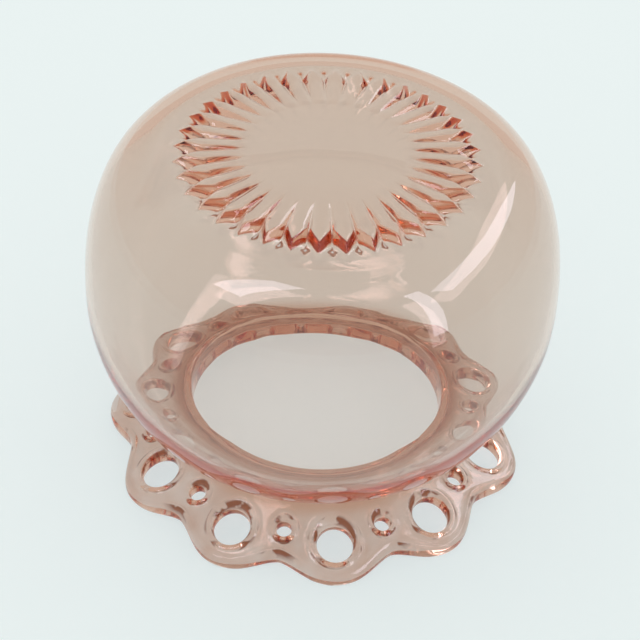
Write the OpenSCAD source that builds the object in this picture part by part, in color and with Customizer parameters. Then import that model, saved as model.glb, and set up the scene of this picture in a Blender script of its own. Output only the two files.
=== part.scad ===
// Globe-shaped candy dish with a rayed base and an openwork rim, pressed in one piece of glass.
// It is modelled mouth down, resting on its rim, with the rayed base on top.
// The origin is the centre of the plane that the rim rests on.

/* [Globe] */
// Greatest diameter of the globe
globe_d = 152; // [140:1:180]
// Overall height, from the resting plane to the base
dish_h = 119.5; // [112:0.5:130]
// Height of the globe's widest level above the resting plane
belly_h = 67; // [62:1:72]
// Wall thickness at the widest level
wall_t = 3; // [2.6:0.1:4]
// Fullness of the shoulder between base and belly: 2 is an ellipse, less is leaner
shoulder_fullness = 2.16; // [1.8:0.02:2.4]
// Fullness of the bowl between belly and neck
bowl_fullness = 1.8; // [1.5:0.1:2.2]

/* [Rayed base] */
// Diameter of the smooth disc in the middle of the base
disc_d = 49; // [40:1:56]
// Diameter of the circle on which the tips of the rays lie
ray_tip_d = 87; // [80:1:90]
// Diameter at which the base's sloping edge meets the shoulder
pad_d = 96; // [94:0.5:98]
// How far the base stands above the shoulder
pad_rise = 2.4; // [1.8:0.1:3]
// Diameter at which the shoulder starts to curve down
base_d = 106; // [100:1:108]
// Diameter at which the floor inside starts to curve into the wall
floor_d = 96; // [90:1:98]
// Thickness of the base
base_t = 7; // [6:0.5:8]
// Number of grooves that part the rays
ray_count = 36; // [24:2:44]
// Greatest width of a groove
groove_w = 4.4; // [3:0.1:5]
// Depth of a groove at its widest
groove_depth = 1.5; // [0.8:0.1:1.8]

/* [Neck] */
// Clear diameter of the mouth
mouth_d = 86; // [78:1:90]
// Thickness of the upright neck wall
neck_t = 3; // [2.5:0.1:4]
// Height of the globe's underside where it meets the neck
neck_top = 19; // [17.5:0.5:21]
// Radius of the rounded corners inside the neck
lip_r = 2.2; // [1:0.2:2.6]

/* [Lace rim] */
// Diameter across the tips of the scallops
rim_d = 144.8; // [140:0.2:150]
// Diameter across the notches between the scallops
notch_d = 131; // [127:1:135]
// Number of scallops
scallop_count = 11; // [9:1:13]
// Thickness of the rim
rim_t = 4.6; // [3.2:0.2:4.8]
// How far the rim rises from its tips to the neck
rim_rise = 10; // [8:0.5:11]
// Diameter of the large hole in each scallop
eyelet_d = 11.7; // [8:0.1:13]
// Diameter of the circle that the large holes sit on
eyelet_ring_d = 120.6; // [118:0.2:122]
// Diameter of the small hole between two scallops
pinhole_d = 4.8; // [3:0.1:6]
// Diameter of the circle that the small holes sit on
pinhole_ring_d = 113.4; // [110:0.2:116]

/* [Hidden] */
$fn = 96;
globe_r = globe_d / 2;
base_r = base_d / 2;
disc_r = disc_d / 2;
ray_tip_r = ray_tip_d / 2;
pad_r = pad_d / 2;
floor_r = floor_d / 2;
mouth_r = mouth_d / 2;
neck_r = mouth_r + neck_t;
rim_r = rim_d / 2;
notch_r = notch_d / 2;
rest_r = rim_r - rim_t / 2;      // outside this the rim lies flat on the resting plane
floor_h = dish_h - base_t;       // level of the bowl's own floor
shoulder_h = dish_h - pad_rise;  // level at which the shoulder starts
inner_r = globe_r - wall_t;
lip_top = neck_top + wall_t;     // level of the wall's inner face at the neck
band_angle = 45;                 // where each quarter of the globe is divided into two bands
band_steps = 7;                  // chords in each band's outline
floor_steps = 3;                 // chords in the floor's curve under the ray ring
lip_steps = 5;                   // chords in each rounded corner of the neck
rim_steps = 8;                   // chords in the rim's curved section
rim_curl = 1.15;                 // 1 is a straight cone, more curls the rim down to its tips
scallop_steps = 12;              // chords in each scallop's outline
scallop_plump = 0.8;             // 1 is an even wave, less gives broader scallops
groove_steps = 5;                // cones in each groove
groove_sides = 24;               // chords round each groove's spindle
groove_skew = 1.9;               // 1 is widest halfway, more is widest near the outer end
overlap = 1;                     // how far a cutting shape runs past what it cuts
glass_pink = [0.93, 0.74, 0.68, 0.55];

// One quarter of a superellipse: it leaves r_axis, z_axis level and meets r_side, z_side upright.
function quarter(angle, r_axis, z_axis, r_side, z_side, fullness) = [
    r_axis + (r_side - r_axis) * pow(sin(angle), 2 / fullness),
    z_side + (z_axis - z_side) * pow(cos(angle), 2 / fullness)
];

// The angle at which such a quarter passes the radius r.
function angle_at(r, r_axis, r_side, fullness) = asin(pow((r - r_axis) / (r_side - r_axis), fullness / 2));

// Values from one number to another in equal steps.
function steps(from, to, count) = [for (i = [0:count]) from + (to - from) * i / count];

// The globe's outside and inside between two angles: the shoulder above the belly, the bowl below it.
function shoulder_outer(from, to, count) = [for (a = steps(from, to, count))
    quarter(a, base_r, shoulder_h, globe_r, belly_h, shoulder_fullness)];
function shoulder_inner(from, to, count) = [for (a = steps(from, to, count))
    quarter(a, floor_r, floor_h, inner_r, belly_h, shoulder_fullness)];
function bowl_outer(from, to, count) = [for (a = steps(from, to, count))
    quarter(a, neck_r, neck_top, globe_r, belly_h, bowl_fullness)];
function bowl_inner(from, to, count) = [for (a = steps(from, to, count))
    quarter(a, mouth_r, lip_top, inner_r, belly_h, bowl_fullness)];

// Where the inside crosses the edge of the ray ring, and the neck's outer face.
inner_start = angle_at(base_r, floor_r, inner_r, shoulder_fullness);
inner_end = angle_at(neck_r, mouth_r, inner_r, bowl_fullness);

// The points of an arc round a centre.
function arc(centre, radius, from, to, count) = [for (a = steps(from, to, count))
    centre + radius * [cos(a), sin(a)]];

// Height of the rim's middle surface at the radius r.
function rim_mid(r) = rim_t / 2 + rim_rise * pow(max(0, rest_r - r) / (rest_r - neck_r), rim_curl);

function rim_face(side) = [for (i = [0:rim_steps])
    let (r = neck_r + (rim_r - neck_r) * i / rim_steps) [r, rim_mid(r) + side * rim_t / 2]];

// The wavy edge of the rim, seen from above.
function scallop_edge() = [for (i = [0:scallop_count * scallop_steps - 1])
    let (
        a = 360 * i / (scallop_count * scallop_steps) - 90,
        wave = 0.5 + 0.5 * cos(360 * i / scallop_steps),
        r = notch_r + (rim_r - notch_r) * pow(wave, scallop_plump)
    ) r * [cos(a), sin(a)]];

// The groove's half width, from 0 at the disc to its widest near the outer end and back to 0.
function groove_half(u) = groove_w / 2 * sin(180 * pow(u, groove_skew));

// Copies of a shape turned about the dish's axis, the first one shifted by part of a step.
module around(count, shift = 0) {
    for (i = [0:count - 1])
        rotate([0, 0, 360 * (i + shift) / count - 90])
            children();
}

// A spindle lying along a radius, which cuts one groove with rounded flanks.
module groove_cutter() {
    lift = groove_w / 2 - groove_depth;
    translate([0, 0, dish_h + lift])
        rotate([0, 90, 0])
            rotate_extrude($fn = groove_sides)
                polygon(concat(
                    [[0, disc_r]],
                    [for (i = [1:groove_steps - 1])
                        let (u = i / groove_steps) [groove_half(u), disc_r + (pad_r - disc_r) * u]],
                    [[0, pad_r]]
                ));
}

// The smooth round centre of the base.
module base_disc() {
    color(glass_pink)
        translate([0, 0, floor_h])
            cylinder(h = base_t, r = disc_r);
}

// The ring of rays round it: flat-topped, parted by grooves, with a sloping edge down to the shoulder.
module ray_ring() {
    color(glass_pink)
        difference() {
            rotate_extrude()
                polygon(concat(
                    [[disc_r, dish_h], [disc_r, floor_h]],
                    shoulder_inner(0, inner_start, floor_steps),
                    [[base_r, shoulder_h], [pad_r, shoulder_h], [ray_tip_r, dish_h]]
                ));
            around(ray_count, 0.5)
                groove_cutter();
        }
}

// A band of the globe's wall, turned from its outside and inside outlines.
module wall_band(outside, inside) {
    color(glass_pink)
        rotate_extrude()
            polygon(concat(outside, inside));
}

// The curve over the edge of the base.
module shoulder() {
    wall_band(
        shoulder_outer(0, band_angle, band_steps),
        shoulder_inner(band_angle, inner_start, band_steps)
    );
}

// The globe's wall from the shoulder to its widest level.
module upper_wall() {
    wall_band(
        shoulder_outer(band_angle, 90, band_steps),
        shoulder_inner(90, band_angle, band_steps)
    );
}

// The globe's wall from its widest level down to the turn of the bowl.
module lower_wall() {
    wall_band(
        bowl_outer(90, band_angle, band_steps),
        bowl_inner(band_angle, 90, band_steps)
    );
}

// The bowl's in-turned wall over the rim, down to the neck.
module underside() {
    wall_band(
        bowl_outer(band_angle, 0, band_steps),
        bowl_inner(inner_end, band_angle, band_steps)
    );
}

// The upright ring between the globe and the rim, with rounded corners inside.
module neck() {
    foot_h = rim_mid(neck_r) - rim_t / 2;
    color(glass_pink)
        rotate_extrude()
            polygon(concat(
                [[neck_r, foot_h]],
                [quarter(inner_end, mouth_r, lip_top, inner_r, belly_h, bowl_fullness)],
                arc([mouth_r + lip_r, lip_top - lip_r], lip_r, 90, 180, lip_steps),
                arc([mouth_r + lip_r, foot_h + lip_r], lip_r, 180, 270, lip_steps)
            ));
}

// The sloping openwork brim: a large hole in each scallop and a small one at each notch.
module lace_rim() {
    color(glass_pink)
        difference() {
            intersection() {
                rotate_extrude()
                    polygon(concat(rim_face(-1), [for (i = [rim_steps:-1:0]) rim_face(1)[i]]));
                linear_extrude(height = dish_h)
                    polygon(scallop_edge());
            }
            around(scallop_count)
                translate([eyelet_ring_d / 2, 0, -overlap])
                    cylinder(h = rim_rise + rim_t + 2 * overlap, d = eyelet_d);
            around(scallop_count, 0.5)
                translate([pinhole_ring_d / 2, 0, -overlap])
                    cylinder(h = rim_rise + rim_t + 2 * overlap, d = pinhole_d);
        }
}

base_disc();
ray_ring();
shoulder();
upper_wall();
lower_wall();
underside();
neck();
lace_rim();
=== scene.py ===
"""Builds the look of a globe-shaped pressed-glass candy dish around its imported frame.

The dish is one piece of pink pressed glass, lying mouth down on its scalloped rim with its rayed base on top.
Its skin is pressed by one Geometry Nodes tree, which turns the globe's two outlines, sets the rays round the
base and the scallops round the mouth, and welds them all into one closed shell.
"""

import logging
import math
from dataclasses import dataclass, field
from enum import Enum

import bmesh
import bpy
import numpy as np
from mathutils import Matrix, Vector
from mathutils.geometry import delaunay_2d_cdt


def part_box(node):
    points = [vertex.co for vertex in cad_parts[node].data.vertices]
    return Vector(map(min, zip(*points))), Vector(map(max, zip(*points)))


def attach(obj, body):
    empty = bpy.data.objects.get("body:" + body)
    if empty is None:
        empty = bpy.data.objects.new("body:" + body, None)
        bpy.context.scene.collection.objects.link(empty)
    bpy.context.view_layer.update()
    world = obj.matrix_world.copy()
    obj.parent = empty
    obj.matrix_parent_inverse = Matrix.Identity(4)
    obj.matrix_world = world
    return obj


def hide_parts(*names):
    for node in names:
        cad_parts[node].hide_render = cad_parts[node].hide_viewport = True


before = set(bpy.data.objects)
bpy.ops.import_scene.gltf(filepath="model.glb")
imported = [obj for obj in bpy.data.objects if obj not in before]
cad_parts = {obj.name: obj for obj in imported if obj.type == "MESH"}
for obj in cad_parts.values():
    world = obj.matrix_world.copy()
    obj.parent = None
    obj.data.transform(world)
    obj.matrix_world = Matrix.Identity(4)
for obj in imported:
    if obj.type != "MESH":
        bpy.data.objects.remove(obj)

MM = 0.001
FULL_TURN = 2 * math.pi
BODY = "root"
CUBIC_CM = 1e-6

# Rounding: outline points in one softness length, and the lengths after which the rounding has faded.
POLISH_STEPS = 4
POLISH_REACH = 3
# The turn over which the wavy edge's slope is measured, in radians.
EDGE_STEP = 0.001
TRIANGULATION_TOLERANCE = 1e-9

# The two colour inputs and the colour output of a Mix node, whose names its other sockets share.
MIX_A = 6
MIX_B = 7
MIX_RESULT = 2

# The middle of a noise texture's range, and how rough the ripples' noise is.
NOISE_MIDDLE = 0.5
RIPPLE_DETAIL = 1.0
RIPPLE_ROUGHNESS = 0.4

# Light bounces: light caught inside thick glass needs many before it gets out.
GLASS_BOUNCES = 160
MATT_BOUNCES = 4

log = logging.getLogger("candy_dish")


class Face(Enum):
    """The two faces of the rim's plate, and which way each lies from its middle surface."""

    UPPER = 1
    LOWER = -1


def linear(code: str) -> tuple[float, float, float, float]:
    """Turns an sRGB hex colour into the linear colour that shaders and lights take.

    Args:
        code: Six hex digits, such as "EAF3F2".

    Returns:
        Linear red, green, blue and an alpha of 1.
    """
    channels = [int(code[i:i + 2], 16) / 255 for i in (0, 2, 4)]
    bent = [c / 12.92 if c <= 0.04045 else ((c + 0.055) / 1.055) ** 2.4 for c in channels]
    return (bent[0], bent[1], bent[2], 1.0)


def add_node(tree: bpy.types.NodeTree, kind: str, settings: dict | None = None,
             inputs: dict | None = None) -> bpy.types.Node:
    """Adds one node to a tree, with its settings made and its inputs filled or linked.

    Args:
        tree: The node tree.
        kind: The node's type identifier.
        settings: Attribute values by name.
        inputs: Input values by socket name or index; a socket as the value makes a link.

    Returns:
        The new node.
    """
    node = tree.nodes.new(kind)
    for name, value in (settings or {}).items():
        setattr(node, name, value)
    for key, value in (inputs or {}).items():
        if isinstance(value, bpy.types.NodeSocket):
            tree.links.new(value, node.inputs[key])
        else:
            node.inputs[key].default_value = value
    return node


def mesh_object(name: str, points: list, faces: list) -> bpy.types.Object:
    """Makes a mesh object at the origin.

    Args:
        name: The object's name.
        points: Corner positions in metres.
        faces: Corner indices of each face; none leaves bare points.

    Returns:
        The object, not yet linked to the scene.
    """
    mesh = bpy.data.meshes.new(name)
    mesh.from_pydata([tuple(p) for p in points], [], faces)
    mesh.update()
    return bpy.data.objects.new(name, mesh)


def box_radius(node: str) -> float:
    """The half width along X of a CAD node's box, in metres."""
    low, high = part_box(node)
    return (high[0] - low[0]) / 2


def quarter(count: int, axis_point: tuple[float, float], side_point: tuple[float, float],
            fullness: float) -> np.ndarray:
    """One quarter of a superellipse in the plane of radius and height.

    Args:
        count: How many points to make.
        axis_point: Radius and height where the curve is level.
        side_point: Radius and height where it is upright.
        fullness: The superellipse's power; 2 is an ellipse.

    Returns:
        Points from axis_point to side_point, as rows of radius and height.
    """
    turn = np.linspace(0, math.pi / 2, count)
    out = np.sin(turn) ** (2 / fullness)
    up = np.cos(turn) ** (2 / fullness)
    radius = axis_point[0] + (side_point[0] - axis_point[0]) * out
    height = side_point[1] + (axis_point[1] - side_point[1]) * up
    return np.stack([radius, height], axis=1)


def fire_polish(points: np.ndarray, softness: float) -> np.ndarray:
    """Rounds an outline's corners as a flame rounds a glass edge, and keeps its two ends in place.

    Args:
        points: Rows of radius and height.
        softness: How far along the outline the rounding reaches, in metres.

    Returns:
        The rounded outline, with evenly spaced points.
    """
    spacing = softness / POLISH_STEPS
    evened = resample(points, spacing)
    reach = POLISH_REACH * POLISH_STEPS
    padded = np.concatenate([
        2 * evened[0] - evened[reach:0:-1],
        evened,
        2 * evened[-1] - evened[-2:-reach - 2:-1],
    ])
    offsets = np.arange(-reach, reach + 1) * spacing
    weights = np.exp(-0.5 * (offsets / softness) ** 2)
    weights /= weights.sum()
    columns = [np.convolve(padded[:, i], weights, mode="valid") for i in (0, 1)]
    return np.stack(columns, axis=1)


def resample(points: np.ndarray, spacing: float) -> np.ndarray:
    """Spaces an outline's points evenly along it.

    Args:
        points: Rows of radius and height.
        spacing: The distance between points, in metres.

    Returns:
        The same outline with evenly spaced points, ends included.
    """
    lengths = np.hypot(*np.diff(points, axis=0).T)
    along = np.concatenate([[0], np.cumsum(lengths)])
    count = max(2, round(along[-1] / spacing) + 1)
    wanted = np.linspace(0, along[-1], count)
    return np.stack([np.interp(wanted, along, points[:, i]) for i in (0, 1)], axis=1)


def gather_rows(points: np.ndarray, rows: int, bend_share: float) -> np.ndarray:
    """Picks rows along an outline, closer together where it bends.

    Args:
        points: Evenly spaced rows of radius and height.
        rows: How many rows to keep.
        bend_share: The share of the rows that go by bend and not by length.

    Returns:
        The kept points, ends included.
    """
    steps = np.diff(points, axis=0)
    lengths = np.hypot(*steps.T)
    headings = np.unwrap(np.arctan2(steps[:, 1], steps[:, 0]))
    bends = np.abs(np.gradient(headings))
    weight = (1 - bend_share) * lengths / lengths.sum() + bend_share * bends / bends.sum()
    along = np.concatenate([[0], np.cumsum(weight)])
    wanted = np.linspace(0, along[-1], rows)
    return np.stack([np.interp(wanted, along, points[:, i]) for i in (0, 1)], axis=1)


@dataclass
class RayedBase:
    """The base: a low pad with a smooth disc in its middle and convex rays round it, parted by valleys.

    The valleys widen outwards and the rays end in points, where the pad slopes down to the globe's shoulder.
    Lengths are in metres. Only one ray is meshed, from the dish's axis to the edge of the base.
    """

    count: int = 36
    height: float = field(default_factory=lambda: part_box("base_disc")[1][2])
    disc_radius: float = field(default_factory=lambda: box_radius("base_disc"))
    outer_radius: float = 53.0 * MM
    pad_rise: float = 2.4 * MM
    tip_radius: float = 43.5 * MM
    fork_radius: float = 37.0 * MM
    fork_extra: float = 0.3 * MM
    fork_floor: float = 44.0 * MM
    slope: float = 0.64
    slope_round: float = 0.35 * MM
    valley_depth: float = 1.5 * MM
    valley_sharpness: float = 2.6
    valley_end: float = 48.5 * MM
    valley_fade: float = 46.0 * MM
    disc_sink: float = 0.25 * MM
    coarse_steps: int = 11
    fine_steps: int = 22
    lead_columns: int = 6
    disc_rows: tuple[float, ...] = (0.2, 0.4, 0.6, 0.78, 0.92)
    disc_lip: float = 0.4 * MM
    row_gap: float = 1.1 * MM
    slope_row_gap: float = 0.5 * MM
    slope_margin: float = 1.0 * MM
    valley_opening: float = 0.8

    @property
    def shoulder_height(self) -> float:
        """The height where the pad's slope meets the globe."""
        return self.height - self.pad_rise

    def relief(self, radius: float, phase: float) -> float:
        """How far the surface lies under the pad's face.

        Args:
            radius: Distance from the dish's axis.
            phase: Place across the ray, from -0.5 in one valley to 0.5 in the next.

        Returns:
            The depth in metres.
        """
        across = abs(2 * phase)
        start = self.tip_radius - (self.tip_radius - self.fork_radius) * across
        fall = self.slope * (radius - start)
        climb = smooth_step((radius - self.fork_floor) / (self.valley_end - self.fork_floor))
        drop = self.pad_rise + self.fork_extra * across ** 2 * (1 - climb)
        sloped = self.eased(fall) - self.eased(fall - drop)
        if radius <= self.disc_radius:
            return self.disc_sink + sloped
        run = min((radius - self.disc_radius) / (self.fork_radius - self.disc_radius), 1.0)
        fade = min(1.0, max(0.0, (self.valley_fade - radius) / (self.valley_fade - self.fork_radius)))
        valley = self.valley_depth * run ** self.valley_opening * fade * across ** self.valley_sharpness
        return valley + sloped

    def eased(self, fall: float) -> float:
        """Zero for negative falls and the fall itself for positive ones, with a soft bend between."""
        return 0.5 * (fall + math.hypot(fall, self.slope_round))

    def rows(self) -> list[tuple[float, int]]:
        """Lists the wedge's rows from the axis outwards.

        Returns:
            Pairs of radius and steps across the ray.
        """
        near_fork = self.fork_radius - self.slope_margin
        past_valley = self.valley_end + self.slope_margin
        disc = [(self.disc_radius * share, self.coarse_steps) for share in self.disc_rows]
        lip = [(self.disc_radius - self.disc_lip, self.fine_steps)]
        flat = [(radius, self.fine_steps) for radius in even_steps(self.disc_radius, near_fork, self.row_gap)]
        slope = [(radius, self.fine_steps)
                 for radius in even_steps(near_fork, past_valley, self.slope_row_gap)[1:]]
        return disc + lip + flat + slope + [(self.outer_radius, self.coarse_steps)]

    def build(self) -> bpy.types.Object:
        """Meshes the upper face of one ray's wedge of the base.

        Returns:
            The wedge, from one valley to the next.
        """
        pitch = FULL_TURN / self.count
        lead = self.lead_columns / self.coarse_steps
        points = [(0.0, 0.0, self.height - self.relief(0.0, 0.0))]
        rows = []
        for radius, steps in self.rows():
            row = []
            for j in range(steps + 1):
                angle = (j / steps + lead) * pitch
                row.append(len(points))
                depth = self.pad_rise if radius == self.outer_radius else self.relief(radius, j / steps - 0.5)
                points.append((radius * math.sin(angle), -radius * math.cos(angle), self.height - depth))
            rows.append(row)
        faces = [(0, rows[0][j], rows[0][j + 1]) for j in range(len(rows[0]) - 1)]
        for inner, outer in zip(rows, rows[1:]):
            faces += bridge(inner, outer)
        return mesh_object("ray_wedge", points, faces)


def smooth_step(share: float) -> float:
    """A share held between 0 and 1, with its rise eased at both ends."""
    held = min(1.0, max(0.0, share))
    return held * held * (3 - 2 * held)


def even_steps(start: float, end: float, gap: float) -> list[float]:
    """Evenly spaced values from start to end, about gap apart, both ends included."""
    count = max(1, round((end - start) / gap))
    return [start + (end - start) * i / count for i in range(count + 1)]


def bridge(near: list[int], far: list[int]) -> list[tuple[int, ...]]:
    """Joins two rows of corners, one of which may have twice the steps of the other.

    Args:
        near: Corner indices of the first row.
        far: Corner indices of the second row.

    Returns:
        The faces between them.
    """
    if len(near) == len(far):
        return [(near[j], far[j], far[j + 1], near[j + 1]) for j in range(len(near) - 1)]
    if len(near) > len(far):
        return [tuple(reversed(face)) for face in bridge(far, near)]
    faces = []
    for j in range(len(near) - 1):
        k = 2 * j
        faces.append((near[j], far[k], far[k + 1]))
        faces.append((near[j], far[k + 1], near[j + 1]))
        faces.append((near[j + 1], far[k + 1], far[k + 2]))
    return faces


@dataclass(frozen=True)
class Hole:
    """A round hole through the rim with a rounded edge. Lengths are in metres, the angle in radians.

    The angle is measured from the middle of a scallop, and reach says how far from the hole its rounding and
    its collar end.
    """

    ring_radius: float
    angle: float
    radius: float
    steps: int
    reach: tuple[float, float]


@dataclass(frozen=True)
class EdgeRow:
    """One row of corners beside an edge of the rim.

    Holds its distance from the edge in metres, the upper and lower faces' shares of the plate's half
    thickness there, and its share of the collar's or notch's swelling.
    """

    distance: float
    share: float
    low_share: float
    swell: float


@dataclass
class LaceRim:
    """The openwork brim: a wavy plate with a large hole in each scallop and a small one at each notch.

    Lengths are in metres, angles in radians from the middle of a scallop. One scallop is meshed.
    """

    count: int = 11
    segments: int = 36
    lead_segments: int = 11
    thickness: float = 4.6 * MM
    rise: float = 10.0 * MM
    curl: float = 1.15
    tip_radius: float = field(default_factory=lambda: -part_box("lace_rim")[0][1])
    notch_radius: float = 65.5 * MM
    plumpness: float = 0.8
    neck_radius: float = field(default_factory=lambda: box_radius("neck"))
    join_radius: float = 49.5 * MM
    eyelet_radius: float = 5.85 * MM
    eyelet_ring: float = 60.3 * MM
    eyelet_steps: int = 44
    pinhole_radius: float = 2.4 * MM
    pinhole_ring: float = 56.7 * MM
    pinhole_steps: int = 24
    collar_rise: float = 0.6 * MM
    notch_rise: float = 1.0 * MM
    lower_round: float = 0.5 * MM
    edge_reach: tuple[float, float] = (1.5 * MM, 2.6 * MM)
    eyelet_reach: tuple[float, float] = (2.3 * MM, 3.4 * MM)
    pinhole_reach: tuple[float, float] = (1.8 * MM, 2.8 * MM)
    round_steps: int = 6
    fade_steps: int = 3
    row_gap: float = 1.35 * MM
    edge_clearance: float = 0.5
    hole_clearance: float = 0.6

    @property
    def pitch(self) -> float:
        """The angle from one scallop to the next."""
        return FULL_TURN / self.count

    def wave(self, angle: float) -> float:
        """How near an angle is to a scallop's tip: 1 at the tip, 0 at the notch."""
        return 0.5 + 0.5 * math.cos(angle * self.count)

    def edge_at(self, angle: float) -> float:
        """The radius of the wavy edge at an angle."""
        return self.notch_radius + (self.tip_radius - self.notch_radius) * self.wave(angle) ** self.plumpness

    def lean_at(self, angle: float) -> float:
        """How much longer a radial step across the wavy edge is than a square one."""
        slope = (self.edge_at(angle + EDGE_STEP) - self.edge_at(angle - EDGE_STEP)) / (2 * EDGE_STEP)
        return math.hypot(1, slope / self.edge_at(angle))

    def middle(self, radius: float) -> float:
        """The height of the plate's middle surface.

        Args:
            radius: Distance from the dish's axis.

        Returns:
            The height in metres.
        """
        rest_radius = self.tip_radius - self.thickness / 2
        share = max(0.0, rest_radius - radius) / (rest_radius - self.neck_radius)
        return self.thickness / 2 + self.rise * share ** self.curl

    def profile(self, reach: tuple[float, float]) -> list[EdgeRow]:
        """The plate's section beside an edge: a quarter round, then a swelling that fades away.

        Args:
            reach: How far from the edge the quarter round and the swelling end.

        Returns:
            The rows from the edge inwards. The lower face rounds off more tightly than the upper one.
        """
        rounded, faded = reach
        turns = [math.pi / 2 * i / self.round_steps for i in range(self.round_steps + 1)]
        rows = [(rounded * (1 - math.cos(turn)), math.sin(turn), math.sin(turn)) for turn in turns]
        for i in range(1, self.fade_steps + 1):
            share = i / self.fade_steps
            rows.append((rounded + (faded - rounded) * share, 1.0, 0.5 + 0.5 * math.cos(math.pi * share)))
        return [EdgeRow(distance, share, self.lower_share(distance), swell)
                for distance, share, swell in rows]

    def lower_share(self, distance: float) -> float:
        """The lower face's share of the half thickness at a distance from an edge."""
        return math.sqrt(1 - (1 - min(1.0, distance / self.lower_round)) ** 2)

    def holes(self) -> list[Hole]:
        """The large hole in the middle of a scallop and the small one at its notch."""
        return [Hole(self.eyelet_ring, 0.0, self.eyelet_radius, self.eyelet_steps, self.eyelet_reach),
                Hole(self.pinhole_ring, self.pitch / 2, self.pinhole_radius, self.pinhole_steps,
                     self.pinhole_reach)]

    def build(self) -> bpy.types.Object:
        """Meshes both faces of one scallop, welded along its edge and round its holes.

        Returns:
            The scallop, its middle pointing along -Y.
        """
        plan = ScallopPlan()
        angles = [self.pitch * (i - self.lead_segments) / self.segments for i in range(self.segments + 1)]
        edge_row = self.add_edge(plan, angles)
        loops = self.add_holes(plan)
        join_row = [plan.add(angle, self.join_radius) for angle in angles]
        fill = edge_row + [corner for loop in loops for corner in loop] + join_row
        fill += self.add_field(plan, angles, edge_row)
        seams = [{i for i in fill if plan.angles[i] == angle} for angle in (angles[0], angles[-1])]
        outside = [set(join_row), set(edge_row)] + [set(loop) for loop in loops] + seams
        plan.faces += plan.triangulate(fill, outside)
        points, faces = plan.plate(self)
        return mesh_object("scallop", points, faces)

    def add_edge(self, plan: "ScallopPlan", angles: list[float]) -> list[int]:
        """Adds the rows along the wavy edge.

        Args:
            plan: The plan that takes the rows.
            angles: The angle of each column.

        Returns:
            The corners of the innermost row.
        """
        rows = []
        for step in self.profile(self.edge_reach):
            row = []
            for angle in angles:
                radius = self.edge_at(angle) - step.distance * self.lean_at(angle)
                rise = self.notch_rise * step.swell * (1 - self.wave(angle)) ** 2
                row.append(plan.add(angle, radius, step.share, step.low_share, rise))
            rows.append(row)
        for outer, inner in zip(rows, rows[1:]):
            plan.faces += bridge(inner, outer)
        return list(rows[-1])

    def add_holes(self, plan: "ScallopPlan") -> list[list[int]]:
        """Adds the rings of corners round both holes.

        Args:
            plan: The plan that takes the rings.

        Returns:
            The corners of each hole's outermost ring.
        """
        outermost = []
        for hole in self.holes():
            loops = []
            for step in self.profile(hole.reach):
                reach = hole.radius + step.distance
                loop = []
                for k in range(hole.steps):
                    turn = FULL_TURN * k / hole.steps
                    x = hole.ring_radius * math.sin(hole.angle) + reach * math.cos(turn)
                    y = hole.ring_radius * math.cos(hole.angle) + reach * math.sin(turn)
                    loop.append(plan.add(math.atan2(x, y), math.hypot(x, y), step.share, step.low_share,
                                         self.collar_rise * step.swell))
                loops.append(loop)
            for inner, outer in zip(loops, loops[1:]):
                plan.faces += bridge(inner + inner[:1], outer + outer[:1])
            outermost.append(loops[-1])
        return outermost

    def add_field(self, plan: "ScallopPlan", angles: list[float], edge_row: list[int]) -> list[int]:
        """Adds the corners of the plain plate between the neck, the holes and the wavy edge.

        Args:
            plan: The plan that takes the corners.
            angles: The angle of each column.
            edge_row: The innermost row of the wavy edge.

        Returns:
            The added corners.
        """
        inner_edge = min(self.edge_at(angle) for angle in angles) - self.edge_reach[1]
        gap = (inner_edge - self.join_radius) / round((inner_edge - self.join_radius) / self.row_gap)
        top = self.tip_radius - self.edge_reach[1]
        added = []
        radius = self.join_radius + gap
        while radius < top:
            for angle, edge_corner in zip(angles, edge_row):
                if radius > plan.radii[edge_corner] - self.edge_clearance * gap:
                    continue
                if self.clear_of_holes(angle, radius, self.hole_clearance * gap):
                    added.append(plan.add(angle, radius))
            radius += gap
        return added

    def clear_of_holes(self, angle: float, radius: float, margin: float) -> bool:
        """Whether a point lies outside both holes and their rounded edges.

        Args:
            angle: The point's angle.
            radius: The point's distance from the dish's axis.
            margin: How far outside it has to be.

        Returns:
            True when it is clear of them.
        """
        for hole in self.holes():
            for turn in (hole.angle, hole.angle - self.pitch):
                across = math.sqrt(hole.ring_radius ** 2 + radius ** 2
                                   - 2 * hole.ring_radius * radius * math.cos(angle - turn))
                if across < hole.radius + hole.reach[1] + margin:
                    return False
        return True


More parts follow.
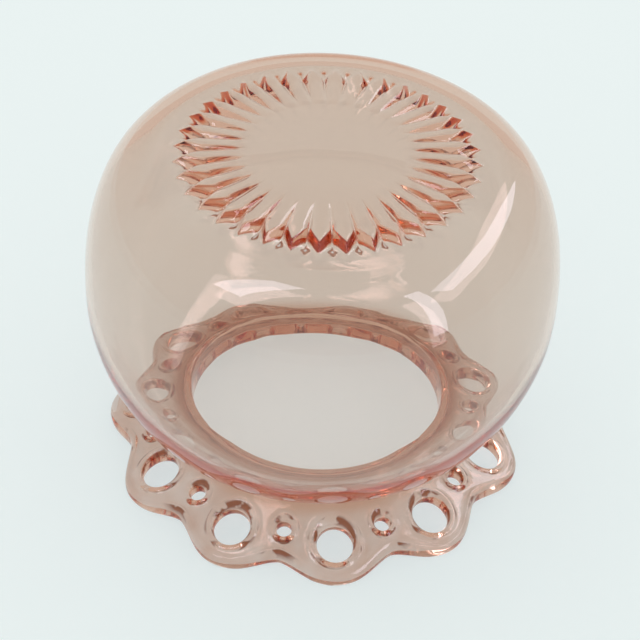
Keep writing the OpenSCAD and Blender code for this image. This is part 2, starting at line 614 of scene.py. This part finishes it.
@dataclass
class ScallopPlan:
    """A scallop's mesh seen from above, before it is given its two faces."""

    angles: list[float] = field(default_factory=list)
    radii: list[float] = field(default_factory=list)
    shares: list[float] = field(default_factory=list)
    low_shares: list[float] = field(default_factory=list)
    rises: list[float] = field(default_factory=list)
    faces: list[tuple[int, ...]] = field(default_factory=list)

    def add(self, angle: float, radius: float, share: float = 1.0, low_share: float = 1.0,
            rise: float = 0.0) -> int:
        """Adds a corner to the plan.

        Args:
            angle: Angle round the dish's axis.
            radius: Distance from the axis.
            share: The upper face's part of the plate's half thickness.
            low_share: The lower face's part of it.
            rise: How far the upper face swells above that.

        Returns:
            The corner's index.
        """
        self.angles.append(angle)
        self.radii.append(radius)
        self.shares.append(share)
        self.low_shares.append(low_share)
        self.rises.append(rise)
        return len(self.angles) - 1

    def triangulate(self, corners: list[int], outside: list[set[int]]) -> list[tuple[int, ...]]:
        """Fills the plan between its rows with triangles.

        Args:
            corners: The corners that the triangles join.
            outside: Sets of corners that bound a gap, where no triangle belongs.

        Returns:
            The triangles as corner indices.
        """
        flat = [Vector((self.radii[i] * math.sin(self.angles[i]), -self.radii[i] * math.cos(self.angles[i])))
                for i in corners]
        result = delaunay_2d_cdt(flat, [], [], 0, TRIANGULATION_TOLERANCE, True)
        faces = []
        for face in result[2]:
            picked = tuple(corners[result[3][k][0]] for k in face)
            if not any(bound.issuperset(picked) for bound in outside):
                faces.append(picked)
        return faces

    def plate(self, rim: LaceRim) -> tuple[list, list]:
        """Raises the plan into a plate with an upper and a lower face.

        Args:
            rim: The rim whose middle surface and thickness the plate follows.

        Returns:
            Corner positions and faces.
        """
        points: list[tuple[float, float, float]] = []
        index: dict[tuple[int, Face], int] = {}
        for side in Face:
            shares = self.shares if side is Face.UPPER else self.low_shares
            corners = zip(self.angles, self.radii, shares, self.rises)
            for i, (angle, radius, share, rise) in enumerate(corners):
                if share == 0 and side is Face.LOWER:
                    index[i, side] = index[i, Face.UPPER]
                    continue
                lift = side.value * share * rim.thickness / 2 + (rise if side is Face.UPPER else 0.0)
                index[i, side] = len(points)
                points.append((radius * math.sin(angle), -radius * math.cos(angle),
                               rim.middle(radius) + lift))
        faces = [tuple(index[i, side] for i in face) for side in Face for face in self.faces]
        return points, faces


@dataclass
class GlobeWall:
    """The globe's two skins, as outlines that are turned round the dish's axis. Lengths are in metres."""

    base: RayedBase
    rim: LaceRim
    radius: float = field(default_factory=lambda: box_radius("upper_wall"))
    belly_height: float = field(default_factory=lambda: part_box("lower_wall")[1][2])
    neck_top: float = field(default_factory=lambda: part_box("underside")[0][2])
    floor_height: float = field(default_factory=lambda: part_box("base_disc")[0][2])
    floor_radius: float = 51.0 * MM
    thickness: float = 3.0 * MM
    mouth_radius: float = 43.0 * MM
    shoulder_fullness: float = 2.16
    bowl_fullness: float = 1.8
    softness: float = 0.9 * MM
    curve_points: int = 120
    outside_rows: int = 52
    inside_rows: int = 46
    bend_share: float = 0.55
    brim_points: int = 8

    def outside(self) -> np.ndarray:
        """Draws the outer outline from the edge of the rayed base down to the rim's upper face.

        Returns:
            Rows of radius and height.
        """
        base, rim = self.base, self.rim
        shoulder = quarter(self.curve_points, (base.outer_radius, base.shoulder_height),
                           (self.radius, self.belly_height), self.shoulder_fullness)
        bowl = quarter(self.curve_points, (rim.neck_radius, self.neck_top),
                       (self.radius, self.belly_height), self.bowl_fullness)[::-1]
        return self.finish(np.concatenate([shoulder, bowl[1:], self.brim(Face.UPPER)]), self.outside_rows)

    def inside(self) -> np.ndarray:
        """Draws the inner outline from the middle of the floor down to the rim's lower face.

        Returns:
            Rows of radius and height.
        """
        belly = (self.radius - self.thickness, self.belly_height)
        shoulder = quarter(self.curve_points, (self.floor_radius, self.floor_height), belly,
                           self.shoulder_fullness)
        bowl = quarter(self.curve_points, (self.mouth_radius, self.neck_top + self.thickness), belly,
                       self.bowl_fullness)[::-1]
        foot = self.rim.middle(self.rim.neck_radius) - self.rim.thickness / 2
        throat = np.array([[self.mouth_radius, foot]])
        middle = np.array([[0.0, self.floor_height]])
        return self.finish(np.concatenate([middle, shoulder, bowl[1:], throat, self.brim(Face.LOWER)]),
                           self.inside_rows)

    def brim(self, side: Face) -> np.ndarray:
        """Draws the short stretch of the rim's face between the neck and the scallops.

        Args:
            side: Which face of the rim.

        Returns:
            Rows of radius and height.
        """
        radii = np.linspace(self.rim.neck_radius, self.rim.join_radius, self.brim_points)
        lift = side.value * self.rim.thickness / 2
        return np.array([[radius, self.rim.middle(radius) + lift] for radius in radii])

    def finish(self, points: np.ndarray, rows: int) -> np.ndarray:
        """Rounds an outline's corners and thins it to its rows."""
        return gather_rows(fire_polish(points, self.softness), rows, self.bend_share)


@dataclass(frozen=True)
class PinkGlass:
    """Soda-lime glass tinted pink with selenium, pressed in a mould and fire-polished.

    Fire polishing gives a wet gloss with patches of faint haze. The glass's own tint turns light that travels
    far inside it red-brown, as in the points of the rays. The rim and neck look browner and darker than that
    makes them, so shade is painted on their surface to add the rest: an uneven brown on the rim, a deeper
    brown on the neck, and broken dark marks on the steep upper faces beside the rim's holes and notches.
    Lengths are in metres.
    """

    name: str = "pressed_pink_glass"
    ior: float = 1.52
    tint: tuple[float, float, float] = (0.88, 0.40, 0.12)
    density: float = 50.0
    film: str = "F0EFED"
    # Painted shade: the rim's browner, darker colour, made uneven by noise and fading out up the neck.
    rim_shade_color: str = "DFC9BD"
    rim_heights: tuple[float, float] = (13 * MM, 20 * MM)
    blotch_size: float = 9 * MM
    blotch_detail: float = 3.0
    blotch_range: tuple[float, float] = (0.35, 0.6)
    thin_blotch: float = 0.55
    # Painted shade: the neck's deeper brown, inside a band of height and radius.
    neck_shade_color: str = "D4AE98"
    neck_heights: tuple[float, float] = (20 * MM, 28 * MM)
    neck_radii: tuple[float, float] = (48 * MM, 53 * MM)
    # Painted shade: broken dark marks on slanted upper faces beside the rim's holes and notches.
    edge_shade_color: str = "6B2A12"
    mark_gentle: tuple[float, float] = (0.90, 0.70)
    mark_upright: tuple[float, float] = (0.05, 0.35)
    mark_radii: tuple[float, float] = (65.5 * MM, 67 * MM)
    mark_size: float = 6 * MM
    mark_detail: float = 2.0
    mark_range: tuple[float, float] = (0.47, 0.53)
    low_roughness: float = 0.0
    high_roughness: float = 0.03
    haze_size: float = 18 * MM
    haze_detail: float = 4.0
    haze_range: tuple[float, float] = (0.45, 0.75)

    def material(self) -> bpy.types.Material:
        """Builds the glass material.

        Returns:
            A transmissive surface with an absorbing volume.
        """
        material = bpy.data.materials.new(self.name)
        material.use_nodes = True
        tree = material.node_tree
        tree.nodes.clear()
        where = add_node(tree, "ShaderNodeTexCoord").outputs
        height = add_node(tree, "ShaderNodeSeparateXYZ", inputs={"Vector": where["Object"]}).outputs["Z"]
        level = add_node(tree, "ShaderNodeVectorMath", {"operation": "MULTIPLY"}, {
            0: where["Object"], 1: (1.0, 1.0, 0.0)})
        radius = add_node(tree, "ShaderNodeVectorMath", {"operation": "LENGTH"}, {
            0: level.outputs["Vector"]}).outputs["Value"]
        # Painted shade mixed into the glass's colour: a browner rim, a deeper brown neck, and dark marks
        # beside the rim's holes.
        rim = self.painted_rim_shade(tree, where["Object"], height)
        neck = self.painted_neck_shade(tree, height, radius, rim)
        edge_shaded = self.painted_edge_shade(tree, where, height, radius, neck)
        surface = add_node(tree, "ShaderNodeBsdfPrincipled", inputs={
            "Base Color": edge_shaded, "Transmission Weight": 1.0, "IOR": self.ior,
            "Roughness": self.haze(tree, where["Object"])})
        volume = add_node(tree, "ShaderNodeVolumeAbsorption", inputs={
            "Color": (*self.tint, 1.0), "Density": self.density})
        add_node(tree, "ShaderNodeOutputMaterial", inputs={
            "Surface": surface.outputs["BSDF"], "Volume": volume.outputs["Volume"]})
        return material

    def haze(self, tree: bpy.types.NodeTree, place: bpy.types.NodeSocket) -> bpy.types.NodeSocket:
        """Adds the nodes for the patches where the fire polish is a little less clear.

        Args:
            tree: The material's tree.
            place: The socket of the Object coordinates.

        Returns:
            The roughness socket.
        """
        noise = add_node(tree, "ShaderNodeTexNoise", inputs={
            "Vector": place, "Scale": 1 / self.haze_size, "Detail": self.haze_detail})
        return add_node(tree, "ShaderNodeMapRange", inputs={
            "Value": noise.outputs["Fac"], "From Min": self.haze_range[0], "From Max": self.haze_range[1],
            "To Min": self.low_roughness, "To Max": self.high_roughness}).outputs["Result"]

    def painted_rim_shade(self, tree: bpy.types.NodeTree, place: bpy.types.NodeSocket,
                 height: bpy.types.NodeSocket) -> bpy.types.NodeSocket:
        """Adds the nodes for the painted shade on the rim, an uneven browner and darker colour, which fades
        out up the neck.

        Args:
            tree: The material's tree.
            place: The socket of the Object coordinates.
            height: The socket of the height.

        Returns:
            The colour socket.
        """
        blotch = add_node(tree, "ShaderNodeTexNoise", inputs={
            "Vector": place, "Scale": 1 / self.blotch_size, "Detail": self.blotch_detail})
        patch = add_node(tree, "ShaderNodeMapRange", inputs={
            "Value": blotch.outputs["Fac"], "From Min": self.blotch_range[0],
            "From Max": self.blotch_range[1], "To Min": self.thin_blotch, "To Max": 1.0})
        low = add_node(tree, "ShaderNodeMapRange", inputs={
            "Value": height, "From Min": self.rim_heights[0], "From Max": self.rim_heights[1],
            "To Min": patch.outputs["Result"], "To Max": 0.0})
        # Painted shade: the rim's shade colour laid over the base colour, strongest low down.
        return add_node(tree, "ShaderNodeMix", {"data_type": "RGBA"}, {
            "Factor": low.outputs["Result"], MIX_A: linear(self.film),
            MIX_B: linear(self.rim_shade_color)}).outputs[MIX_RESULT]

    def painted_neck_shade(self, tree: bpy.types.NodeTree, height: bpy.types.NodeSocket,
                  radius: bpy.types.NodeSocket, under: bpy.types.NodeSocket) -> bpy.types.NodeSocket:
        """Adds the nodes for the painted shade on the neck, a deeper brown.

        Args:
            tree: The material's tree.
            height: The socket of the height.
            radius: The socket of the distance from the dish's axis.
            under: The colour socket that the tint goes over.

        Returns:
            The colour socket.
        """
        inward = add_node(tree, "ShaderNodeMapRange", inputs={
            "Value": radius, "From Min": self.neck_radii[0], "From Max": self.neck_radii[1],
            "To Min": 1.0, "To Max": 0.0})
        low = add_node(tree, "ShaderNodeMapRange", inputs={
            "Value": height, "From Min": self.neck_heights[0], "From Max": self.neck_heights[1],
            "To Min": inward.outputs["Result"], "To Max": 0.0})
        # Painted shade: the neck's brown laid over the rim's colour.
        return add_node(tree, "ShaderNodeMix", {"data_type": "RGBA"}, {
            "Factor": low.outputs["Result"], MIX_A: under,
            MIX_B: linear(self.neck_shade_color)}).outputs[MIX_RESULT]

    def painted_edge_shade(self, tree: bpy.types.NodeTree, where: bpy.types.NodeOutputs,
                   height: bpy.types.NodeSocket, radius: bpy.types.NodeSocket,
                   under: bpy.types.NodeSocket) -> bpy.types.NodeSocket:
        """Adds the nodes for the painted shade beside the rim's holes and notches: broken dark marks.

        They lie on upper faces that are neither nearly level nor nearly upright, off the scallops' tips.

        Args:
            tree: The material's tree.
            where: The texture coordinates.
            height: The socket of the height.
            radius: The socket of the distance from the dish's axis.
            under: The colour socket that the marks go over.

        Returns:
            The colour socket.
        """
        # Painted shade: dark marks placed by how steeply the face slopes, broken by noise, kept off the tips
        # and low down.
        facing_up = add_node(tree, "ShaderNodeSeparateXYZ", inputs={"Vector": where["Normal"]}).outputs["Z"]
        steep = add_node(tree, "ShaderNodeMapRange", inputs={
            "Value": facing_up, "From Min": self.mark_gentle[0], "From Max": self.mark_gentle[1],
            "To Min": 0.0, "To Max": 1.0})
        slanted = add_node(tree, "ShaderNodeMapRange", inputs={
            "Value": facing_up, "From Min": self.mark_upright[0], "From Max": self.mark_upright[1],
            "To Min": 0.0, "To Max": steep.outputs["Result"]})
        noise = add_node(tree, "ShaderNodeTexNoise", inputs={
            "Vector": where["Object"], "Scale": 1 / self.mark_size, "Detail": self.mark_detail})
        broken = add_node(tree, "ShaderNodeMapRange", inputs={
            "Value": noise.outputs["Fac"], "From Min": self.mark_range[0], "From Max": self.mark_range[1],
            "To Min": 0.0, "To Max": slanted.outputs["Result"]})
        off_tips = add_node(tree, "ShaderNodeMapRange", inputs={
            "Value": radius, "From Min": self.mark_radii[0], "From Max": self.mark_radii[1],
            "To Min": broken.outputs["Result"], "To Max": 0.0})
        low = add_node(tree, "ShaderNodeMapRange", inputs={
            "Value": height, "From Min": self.rim_heights[0], "From Max": self.rim_heights[1],
            "To Min": off_tips.outputs["Result"], "To Max": 0.0})
        return add_node(tree, "ShaderNodeMix", {"data_type": "RGBA"}, {
            "Factor": low.outputs["Result"], MIX_A: under,
            MIX_B: linear(self.edge_shade_color)}).outputs[MIX_RESULT]


@dataclass
class PressedDish:
    """The whole dish: base, globe and rim pressed as one closed shell of glass."""

    base: RayedBase = field(default_factory=RayedBase)
    rim: LaceRim = field(default_factory=LaceRim)
    glass: PinkGlass = field(default_factory=PinkGlass)
    weld: float = 0.004 * MM
    ripple_height: float = 0.10 * MM
    ripple_size: float = 24 * MM

    def build(self) -> bpy.types.Object:
        """Presses the dish and dresses it in glass.

        Returns:
            The finished closed mesh.
        """
        wall = GlobeWall(self.base, self.rim)
        tree, sockets = self.press_tree()
        parts = {
            "Outside": self.outline("outside_outline", wall.outside()),
            "Inside": self.outline("inside_outline", wall.inside()),
            "Ray": self.base.build(),
            "Scallop": self.rim.build(),
        }
        dish = mesh_object("pressed_glass_dish", [], [])
        bpy.context.scene.collection.objects.link(dish)
        press = dish.modifiers.new("press", "NODES")
        press.node_group = tree
        values = {
            **parts,
            "Segments": self.rim.count * self.rim.segments,
            "Ray Count": self.base.count,
            "Scallop Count": self.rim.count,
            "Weld Distance": self.weld,
            "Ripple Height": self.ripple_height,
            "Ripple Size": self.ripple_size,
            "Glass": self.glass.material(),
        }
        for name, value in values.items():
            press[sockets[name]] = value
        bpy.context.view_layer.update()
        seen = dish.evaluated_get(bpy.context.evaluated_depsgraph_get())
        pressed = bpy.data.meshes.new_from_object(seen)
        dish.modifiers.remove(press)
        dish.data = pressed
        for part in parts.values():
            bpy.data.objects.remove(part)
        self.turn_faces_out(pressed)
        return dish

    @staticmethod
    def outline(name: str, points: np.ndarray) -> bpy.types.Object:
        """Makes an outline's points into an object that the tree can read, one corner for each row."""
        return mesh_object(name, [(radius, 0.0, height) for radius, height in points], [])

    @staticmethod
    def turn_faces_out(mesh: bpy.types.Mesh) -> None:
        """Points every face outwards and logs how many open edges the shell has.

        Args:
            mesh: The shell's mesh, changed in place.
        """
        shell = bmesh.new()
        shell.from_mesh(mesh)
        bmesh.ops.recalc_face_normals(shell, faces=shell.faces)
        loose = sum(1 for edge in shell.edges if len(edge.link_faces) != 2)
        corners = len(shell.verts)
        triangles = sum(len(face.verts) - 2 for face in shell.faces)
        volume = shell.calc_volume(signed=True)
        shell.to_mesh(mesh)
        shell.free()
        log.info("shell: %d corners, %d triangles, %d open edges, %.1f cm3", corners, triangles, loose,
                 volume / CUBIC_CM)

    def press_tree(self) -> tuple[bpy.types.NodeTree, dict[str, str]]:
        """Builds the tree that presses the dish from its outlines, one ray and one scallop.

        Returns:
            The tree, and each input's identifier by its name.
        """
        tree = bpy.data.node_groups.new("press_dish", "GeometryNodeTree")
        kinds = {
            "Outside": "NodeSocketObject", "Inside": "NodeSocketObject",
            "Ray": "NodeSocketObject", "Scallop": "NodeSocketObject",
            "Segments": "NodeSocketInt", "Ray Count": "NodeSocketInt", "Scallop Count": "NodeSocketInt",
            "Weld Distance": "NodeSocketFloat", "Ripple Height": "NodeSocketFloat",
            "Ripple Size": "NodeSocketFloat", "Glass": "NodeSocketMaterial",
        }
        tree.interface.new_socket("Geometry", in_out="OUTPUT", socket_type="NodeSocketGeometry")
        sockets = {name: tree.interface.new_socket(name, in_out="INPUT", socket_type=kind).identifier
                   for name, kind in kinds.items()}
        given = add_node(tree, "NodeGroupInput").outputs
        shells = [
            self.turned(tree, given["Outside"], given["Segments"]),
            self.turned(tree, given["Inside"], given["Segments"]),
            self.ringed(tree, given["Ray"], given["Ray Count"]),
            self.ringed(tree, given["Scallop"], given["Scallop Count"]),
        ]
        joined = add_node(tree, "GeometryNodeJoinGeometry")
        for shell in shells:
            tree.links.new(shell, joined.inputs["Geometry"])
        whole = add_node(tree, "GeometryNodeRealizeInstances", inputs={
            "Geometry": joined.outputs["Geometry"]})
        welded = add_node(tree, "GeometryNodeMergeByDistance", inputs={
            "Geometry": whole.outputs["Geometry"], "Distance": given["Weld Distance"]})
        rippled = self.rippled(tree, welded.outputs["Geometry"], given)
        smooth = add_node(tree, "GeometryNodeSetShadeSmooth", inputs={"Geometry": rippled})
        dressed = add_node(tree, "GeometryNodeSetMaterial", inputs={
            "Geometry": smooth.outputs["Geometry"], "Material": given["Glass"]})
        add_node(tree, "NodeGroupOutput", inputs={"Geometry": dressed.outputs["Geometry"]})
        return tree, sockets

    @staticmethod
    def turned(tree: bpy.types.NodeTree, outline: bpy.types.NodeSocket,
               segments: bpy.types.NodeSocket) -> bpy.types.NodeSocket:
        """Adds the nodes that turn an outline round the Z axis.

        Args:
            tree: The tree.
            outline: The outline object's socket; its corners hold radius in X and height in Z.
            segments: The number of steps round the axis.

        Returns:
            The socket of the turned mesh.
        """
        source = add_node(tree, "GeometryNodeObjectInfo", inputs={"Object": outline}).outputs["Geometry"]
        rows = add_node(tree, "GeometryNodeAttributeDomainSize", inputs={"Geometry": source})
        columns = add_node(tree, "ShaderNodeMath", {"operation": "ADD"}, {0: segments, 1: 1.0})
        last_row = add_node(tree, "ShaderNodeMath", {"operation": "SUBTRACT"}, {
            0: rows.outputs["Point Count"], 1: 1.0})
        grid = add_node(tree, "GeometryNodeMeshGrid", inputs={
            "Size X": segments, "Size Y": last_row.outputs[0],
            "Vertices X": columns.outputs[0], "Vertices Y": rows.outputs["Point Count"]})
        place = add_node(tree, "ShaderNodeSeparateXYZ", inputs={
            "Vector": add_node(tree, "GeometryNodeInputPosition").outputs[0]})
        share = add_node(tree, "ShaderNodeMath", {"operation": "DIVIDE"}, {
            0: place.outputs["X"], 1: segments})
        angle = add_node(tree, "ShaderNodeMath", {"operation": "MULTIPLY_ADD"}, {
            0: share.outputs[0], 1: FULL_TURN, 2: math.pi})
        row = add_node(tree, "ShaderNodeMath", {"operation": "MULTIPLY_ADD"}, {
            0: last_row.outputs[0], 1: 0.5, 2: place.outputs["Y"]})
        row_number = add_node(tree, "ShaderNodeMath", {"operation": "ROUND"}, {0: row.outputs[0]})
        point = add_node(tree, "GeometryNodeSampleIndex", {"data_type": "FLOAT_VECTOR"}, {
            "Geometry": source, "Value": add_node(tree, "GeometryNodeInputPosition").outputs[0],
            "Index": row_number.outputs[0]})
        axis_turn = add_node(tree, "ShaderNodeVectorRotate", {"rotation_type": "Z_AXIS"}, {
            "Vector": point.outputs["Value"], "Angle": angle.outputs[0]})
        moved = add_node(tree, "GeometryNodeSetPosition", inputs={
            "Geometry": grid.outputs["Mesh"], "Position": axis_turn.outputs["Vector"]})
        return moved.outputs["Geometry"]

    @staticmethod
    def ringed(tree: bpy.types.NodeTree, part: bpy.types.NodeSocket,
               count: bpy.types.NodeSocket) -> bpy.types.NodeSocket:
        """Adds the nodes that set copies of a part round the Z axis.

        Args:
            tree: The tree.
            part: The part object's socket.
            count: How many copies go round.

        Returns:
            The socket of the copies.
        """
        source = add_node(tree, "GeometryNodeObjectInfo", inputs={"Object": part}).outputs["Geometry"]
        seeds = add_node(tree, "GeometryNodeMeshLine", inputs={"Count": count, "Offset": (0.0, 0.0, 0.0)})
        number = add_node(tree, "GeometryNodeInputIndex").outputs[0]
        share = add_node(tree, "ShaderNodeMath", {"operation": "DIVIDE"}, {0: number, 1: count})
        angle = add_node(tree, "ShaderNodeMath", {"operation": "MULTIPLY"}, {
            0: share.outputs[0], 1: FULL_TURN})
        turn = add_node(tree, "FunctionNodeAxisAngleToRotation", inputs={
            "Axis": (0.0, 0.0, 1.0), "Angle": angle.outputs[0]})
        copies = add_node(tree, "GeometryNodeInstanceOnPoints", inputs={
            "Points": seeds.outputs["Mesh"], "Instance": source, "Rotation": turn.outputs["Rotation"]})
        return copies.outputs["Instances"]

    @staticmethod
    def rippled(tree: bpy.types.NodeTree, shell: bpy.types.NodeSocket,
                given: bpy.types.NodeOutputs) -> bpy.types.NodeSocket:
        """Adds the nodes that give both skins the faint waves of glass that cooled in a mould.

        Args:
            tree: The tree.
            shell: The welded shell's socket.
            given: The tree's inputs.

        Returns:
            The socket of the rippled shell.
        """
        scale = add_node(tree, "ShaderNodeMath", {"operation": "DIVIDE"}, {0: 1.0, 1: given["Ripple Size"]})
        waves = add_node(tree, "ShaderNodeTexNoise", inputs={
            "Scale": scale.outputs[0], "Detail": RIPPLE_DETAIL, "Roughness": RIPPLE_ROUGHNESS})
        centred = add_node(tree, "ShaderNodeMath", {"operation": "SUBTRACT"}, {
            0: waves.outputs["Fac"], 1: NOISE_MIDDLE})
        full = add_node(tree, "ShaderNodeMath", {"operation": "MULTIPLY"}, {
            0: centred.outputs[0], 1: 1 / NOISE_MIDDLE})
        height = add_node(tree, "ShaderNodeMath", {"operation": "MULTIPLY"}, {
            0: full.outputs[0], 1: given["Ripple Height"]})
        offset = add_node(tree, "ShaderNodeVectorMath", {"operation": "SCALE"}, {
            0: add_node(tree, "GeometryNodeInputNormal").outputs[0], "Scale": height.outputs[0]})
        moved = add_node(tree, "GeometryNodeSetPosition", inputs={
            "Geometry": shell, "Offset": offset.outputs["Vector"]})
        return moved.outputs["Geometry"]


@dataclass(frozen=True)
class WindowLight:
    """A tall or wide soft light whose reflection draws a streak on the glass and doesn't brighten the floor.

    Angles are in radians: azimuth from -Y towards +X, elevation from the floor. Lengths are in metres.
    """

    name: str
    azimuth: float
    elevation: float
    distance: float
    width: float
    height: float
    radiance: float
    color: str = "F6F0FF"

    def build(self, aim: Vector) -> None:
        """Hangs the light, facing the aim point.

        Args:
            aim: The point that the light faces.
        """
        lamp = bpy.data.lights.new(self.name, "AREA")
        lamp.shape = "RECTANGLE"
        lamp.size = self.width
        lamp.size_y = self.height
        lamp.energy = self.radiance * math.pi * self.width * self.height
        lamp.color = linear(self.color)[:3]
        light = bpy.data.objects.new(self.name, lamp)
        bpy.context.scene.collection.objects.link(light)
        level = math.cos(self.elevation)
        towards = Vector((level * math.sin(self.azimuth), -level * math.cos(self.azimuth),
                          math.sin(self.elevation)))
        light.matrix_world = Matrix.Translation(aim + towards * self.distance) @ facing(-towards, 0.0)
        light.visible_diffuse = False


def facing(forward: Vector, roll: float) -> Matrix:
    """The turn that points a camera's or a light's view along a direction.

    Args:
        forward: Unit direction of view.
        roll: Lean round that direction, in radians.

    Returns:
        The turn as a 4x4 matrix.
    """
    right = forward.cross(Vector((0.0, 0.0, 1.0))).normalized()
    up = right.cross(forward)
    leant_right = right * math.cos(roll) + up * math.sin(roll)
    leant_up = up * math.cos(roll) - right * math.sin(roll)
    return Matrix((leant_right, leant_up, -forward)).transposed().to_4x4()


@dataclass(frozen=True)
class MattPaper:
    """Pale matt backdrop paper, laid as the studio's floor.

    Uncoated paper has no gloss, so it mirrors nothing. Part of its light is its own glow, which holds it to
    its colour in a room that is dimmer than that colour needs.
    """

    name: str = "matt_paper"
    color: str = "EAF3F2"
    glow: float = 0.5

    def material(self, room_light: float, room_color: str) -> bpy.types.Material:
        """Builds the paper's material.

        Args:
            room_light: The strength of the room's even light.
            room_color: The light's sRGB hex colour.

        Returns:
            A matt surface that glows by what the room's light leaves missing.
        """
        material = bpy.data.materials.new(self.name)
        material.use_nodes = True
        tree = material.node_tree
        tree.nodes.clear()
        matt = add_node(tree, "ShaderNodeBsdfDiffuse", inputs={"Color": linear(self.color)})
        lit = [(1 - self.glow) * room_light * channel for channel in linear(room_color)[:3]]
        missing = [shade * (1 - part) / self.glow for shade, part in zip(linear(self.color), lit)]
        glow = add_node(tree, "ShaderNodeEmission", inputs={"Color": (*missing, 1.0), "Strength": 1.0})
        both = add_node(tree, "ShaderNodeMixShader", inputs={
            "Fac": self.glow, 1: matt.outputs["BSDF"], 2: glow.outputs["Emission"]})
        add_node(tree, "ShaderNodeOutputMaterial", inputs={"Surface": both.outputs["Shader"]})
        return material


@dataclass
class Studio:
    """The plain pale room: floor, soft even light, window-shaped lights and the camera. Lengths in metres."""

    paper: MattPaper = field(default_factory=MattPaper)
    floor_size: float = 30.0
    room_light: float = 0.75
    room_color: str = "FFFAF2"
    camera_distance: float = 500 * MM
    camera_elevation: float = math.radians(42.4)
    camera_azimuth: float = math.radians(-7.9)
    camera_roll: float = math.radians(2.75)
    aim_height: float = 49.6 * MM
    lens: float = 84.5
    nearest_seen: float = 10 * MM
    windows: tuple[WindowLight, ...] = (
        WindowLight("left_window", math.radians(-58), math.radians(60), 1.2, 0.26, 0.85, 5.0),
        WindowLight("right_strip", math.radians(100), math.radians(46), 1.0, 1.3, 0.24, 4.0),
        WindowLight("front_strip", math.radians(45), math.radians(26), 1.1, 0.14, 1.0, 5.0),
    )

    def build(self) -> None:
        """Makes the whole studio."""
        for window in self.windows:
            window.build(Vector((0.0, 0.0, self.aim_height)))
        self.build_floor()
        self.build_world()
        self.build_camera()

    def build_floor(self) -> None:
        """Lays a matt floor that reads as the paper's colour under the room's light."""
        half = self.floor_size / 2
        corners = [(-half, -half, 0.0), (half, -half, 0.0), (half, half, 0.0), (-half, half, 0.0)]
        floor = mesh_object("floor", corners, [(0, 1, 2, 3)])
        bpy.context.scene.collection.objects.link(floor)
        floor.data.materials.append(self.paper.material(self.room_light, self.room_color))

    def build_world(self) -> None:
        """Lights the room evenly from all round."""
        world = bpy.data.worlds.new("soft_room")
        world.use_nodes = True
        tree = world.node_tree
        tree.nodes.clear()
        glow = add_node(tree, "ShaderNodeBackground", inputs={
            "Color": linear(self.room_color), "Strength": self.room_light})
        add_node(tree, "ShaderNodeOutputWorld", inputs={"Surface": glow.outputs["Background"]})
        bpy.context.scene.world = world

    def build_camera(self) -> None:
        """Sets the camera above and in front of the dish, leaning a little to one side."""
        lens = bpy.data.cameras.new("camera")
        lens.lens = self.lens
        lens.clip_start = self.nearest_seen
        camera = bpy.data.objects.new("camera", lens)
        bpy.context.scene.collection.objects.link(camera)
        level = self.camera_distance * math.cos(self.camera_elevation)
        rise = self.camera_distance * math.sin(self.camera_elevation)
        aim = Vector((0.0, 0.0, self.aim_height))
        place = aim + Vector((level * math.sin(self.camera_azimuth),
                              -level * math.cos(self.camera_azimuth), rise))
        camera.matrix_world = Matrix.Translation(place) @ facing((aim - place).normalized(), self.camera_roll)
        bpy.context.scene.camera = camera


def set_render_look(scene: bpy.types.Scene) -> None:
    """Sets a plain colour transform and enough light bounces for thick glass.

    Args:
        scene: The scene, changed in place.
    """
    scene.view_settings.view_transform = "Standard"
    scene.cycles.max_bounces = GLASS_BOUNCES
    scene.cycles.transmission_bounces = GLASS_BOUNCES
    scene.cycles.glossy_bounces = GLASS_BOUNCES
    scene.cycles.diffuse_bounces = MATT_BOUNCES
    scene.cycles.caustics_refractive = True
    scene.cycles.caustics_reflective = True
    scene.cycles.use_denoising = True


def main() -> None:
    """Builds the dish and its studio, and reports each piece."""
    logging.basicConfig(level=logging.INFO, format="%(name)s: %(message)s")
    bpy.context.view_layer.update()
    dish = PressedDish().build()
    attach(dish, BODY)
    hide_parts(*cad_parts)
    log.info("pressed %s", dish.name)
    Studio().build()
    set_render_look(bpy.context.scene)


if __name__ == "__main__":
    main()
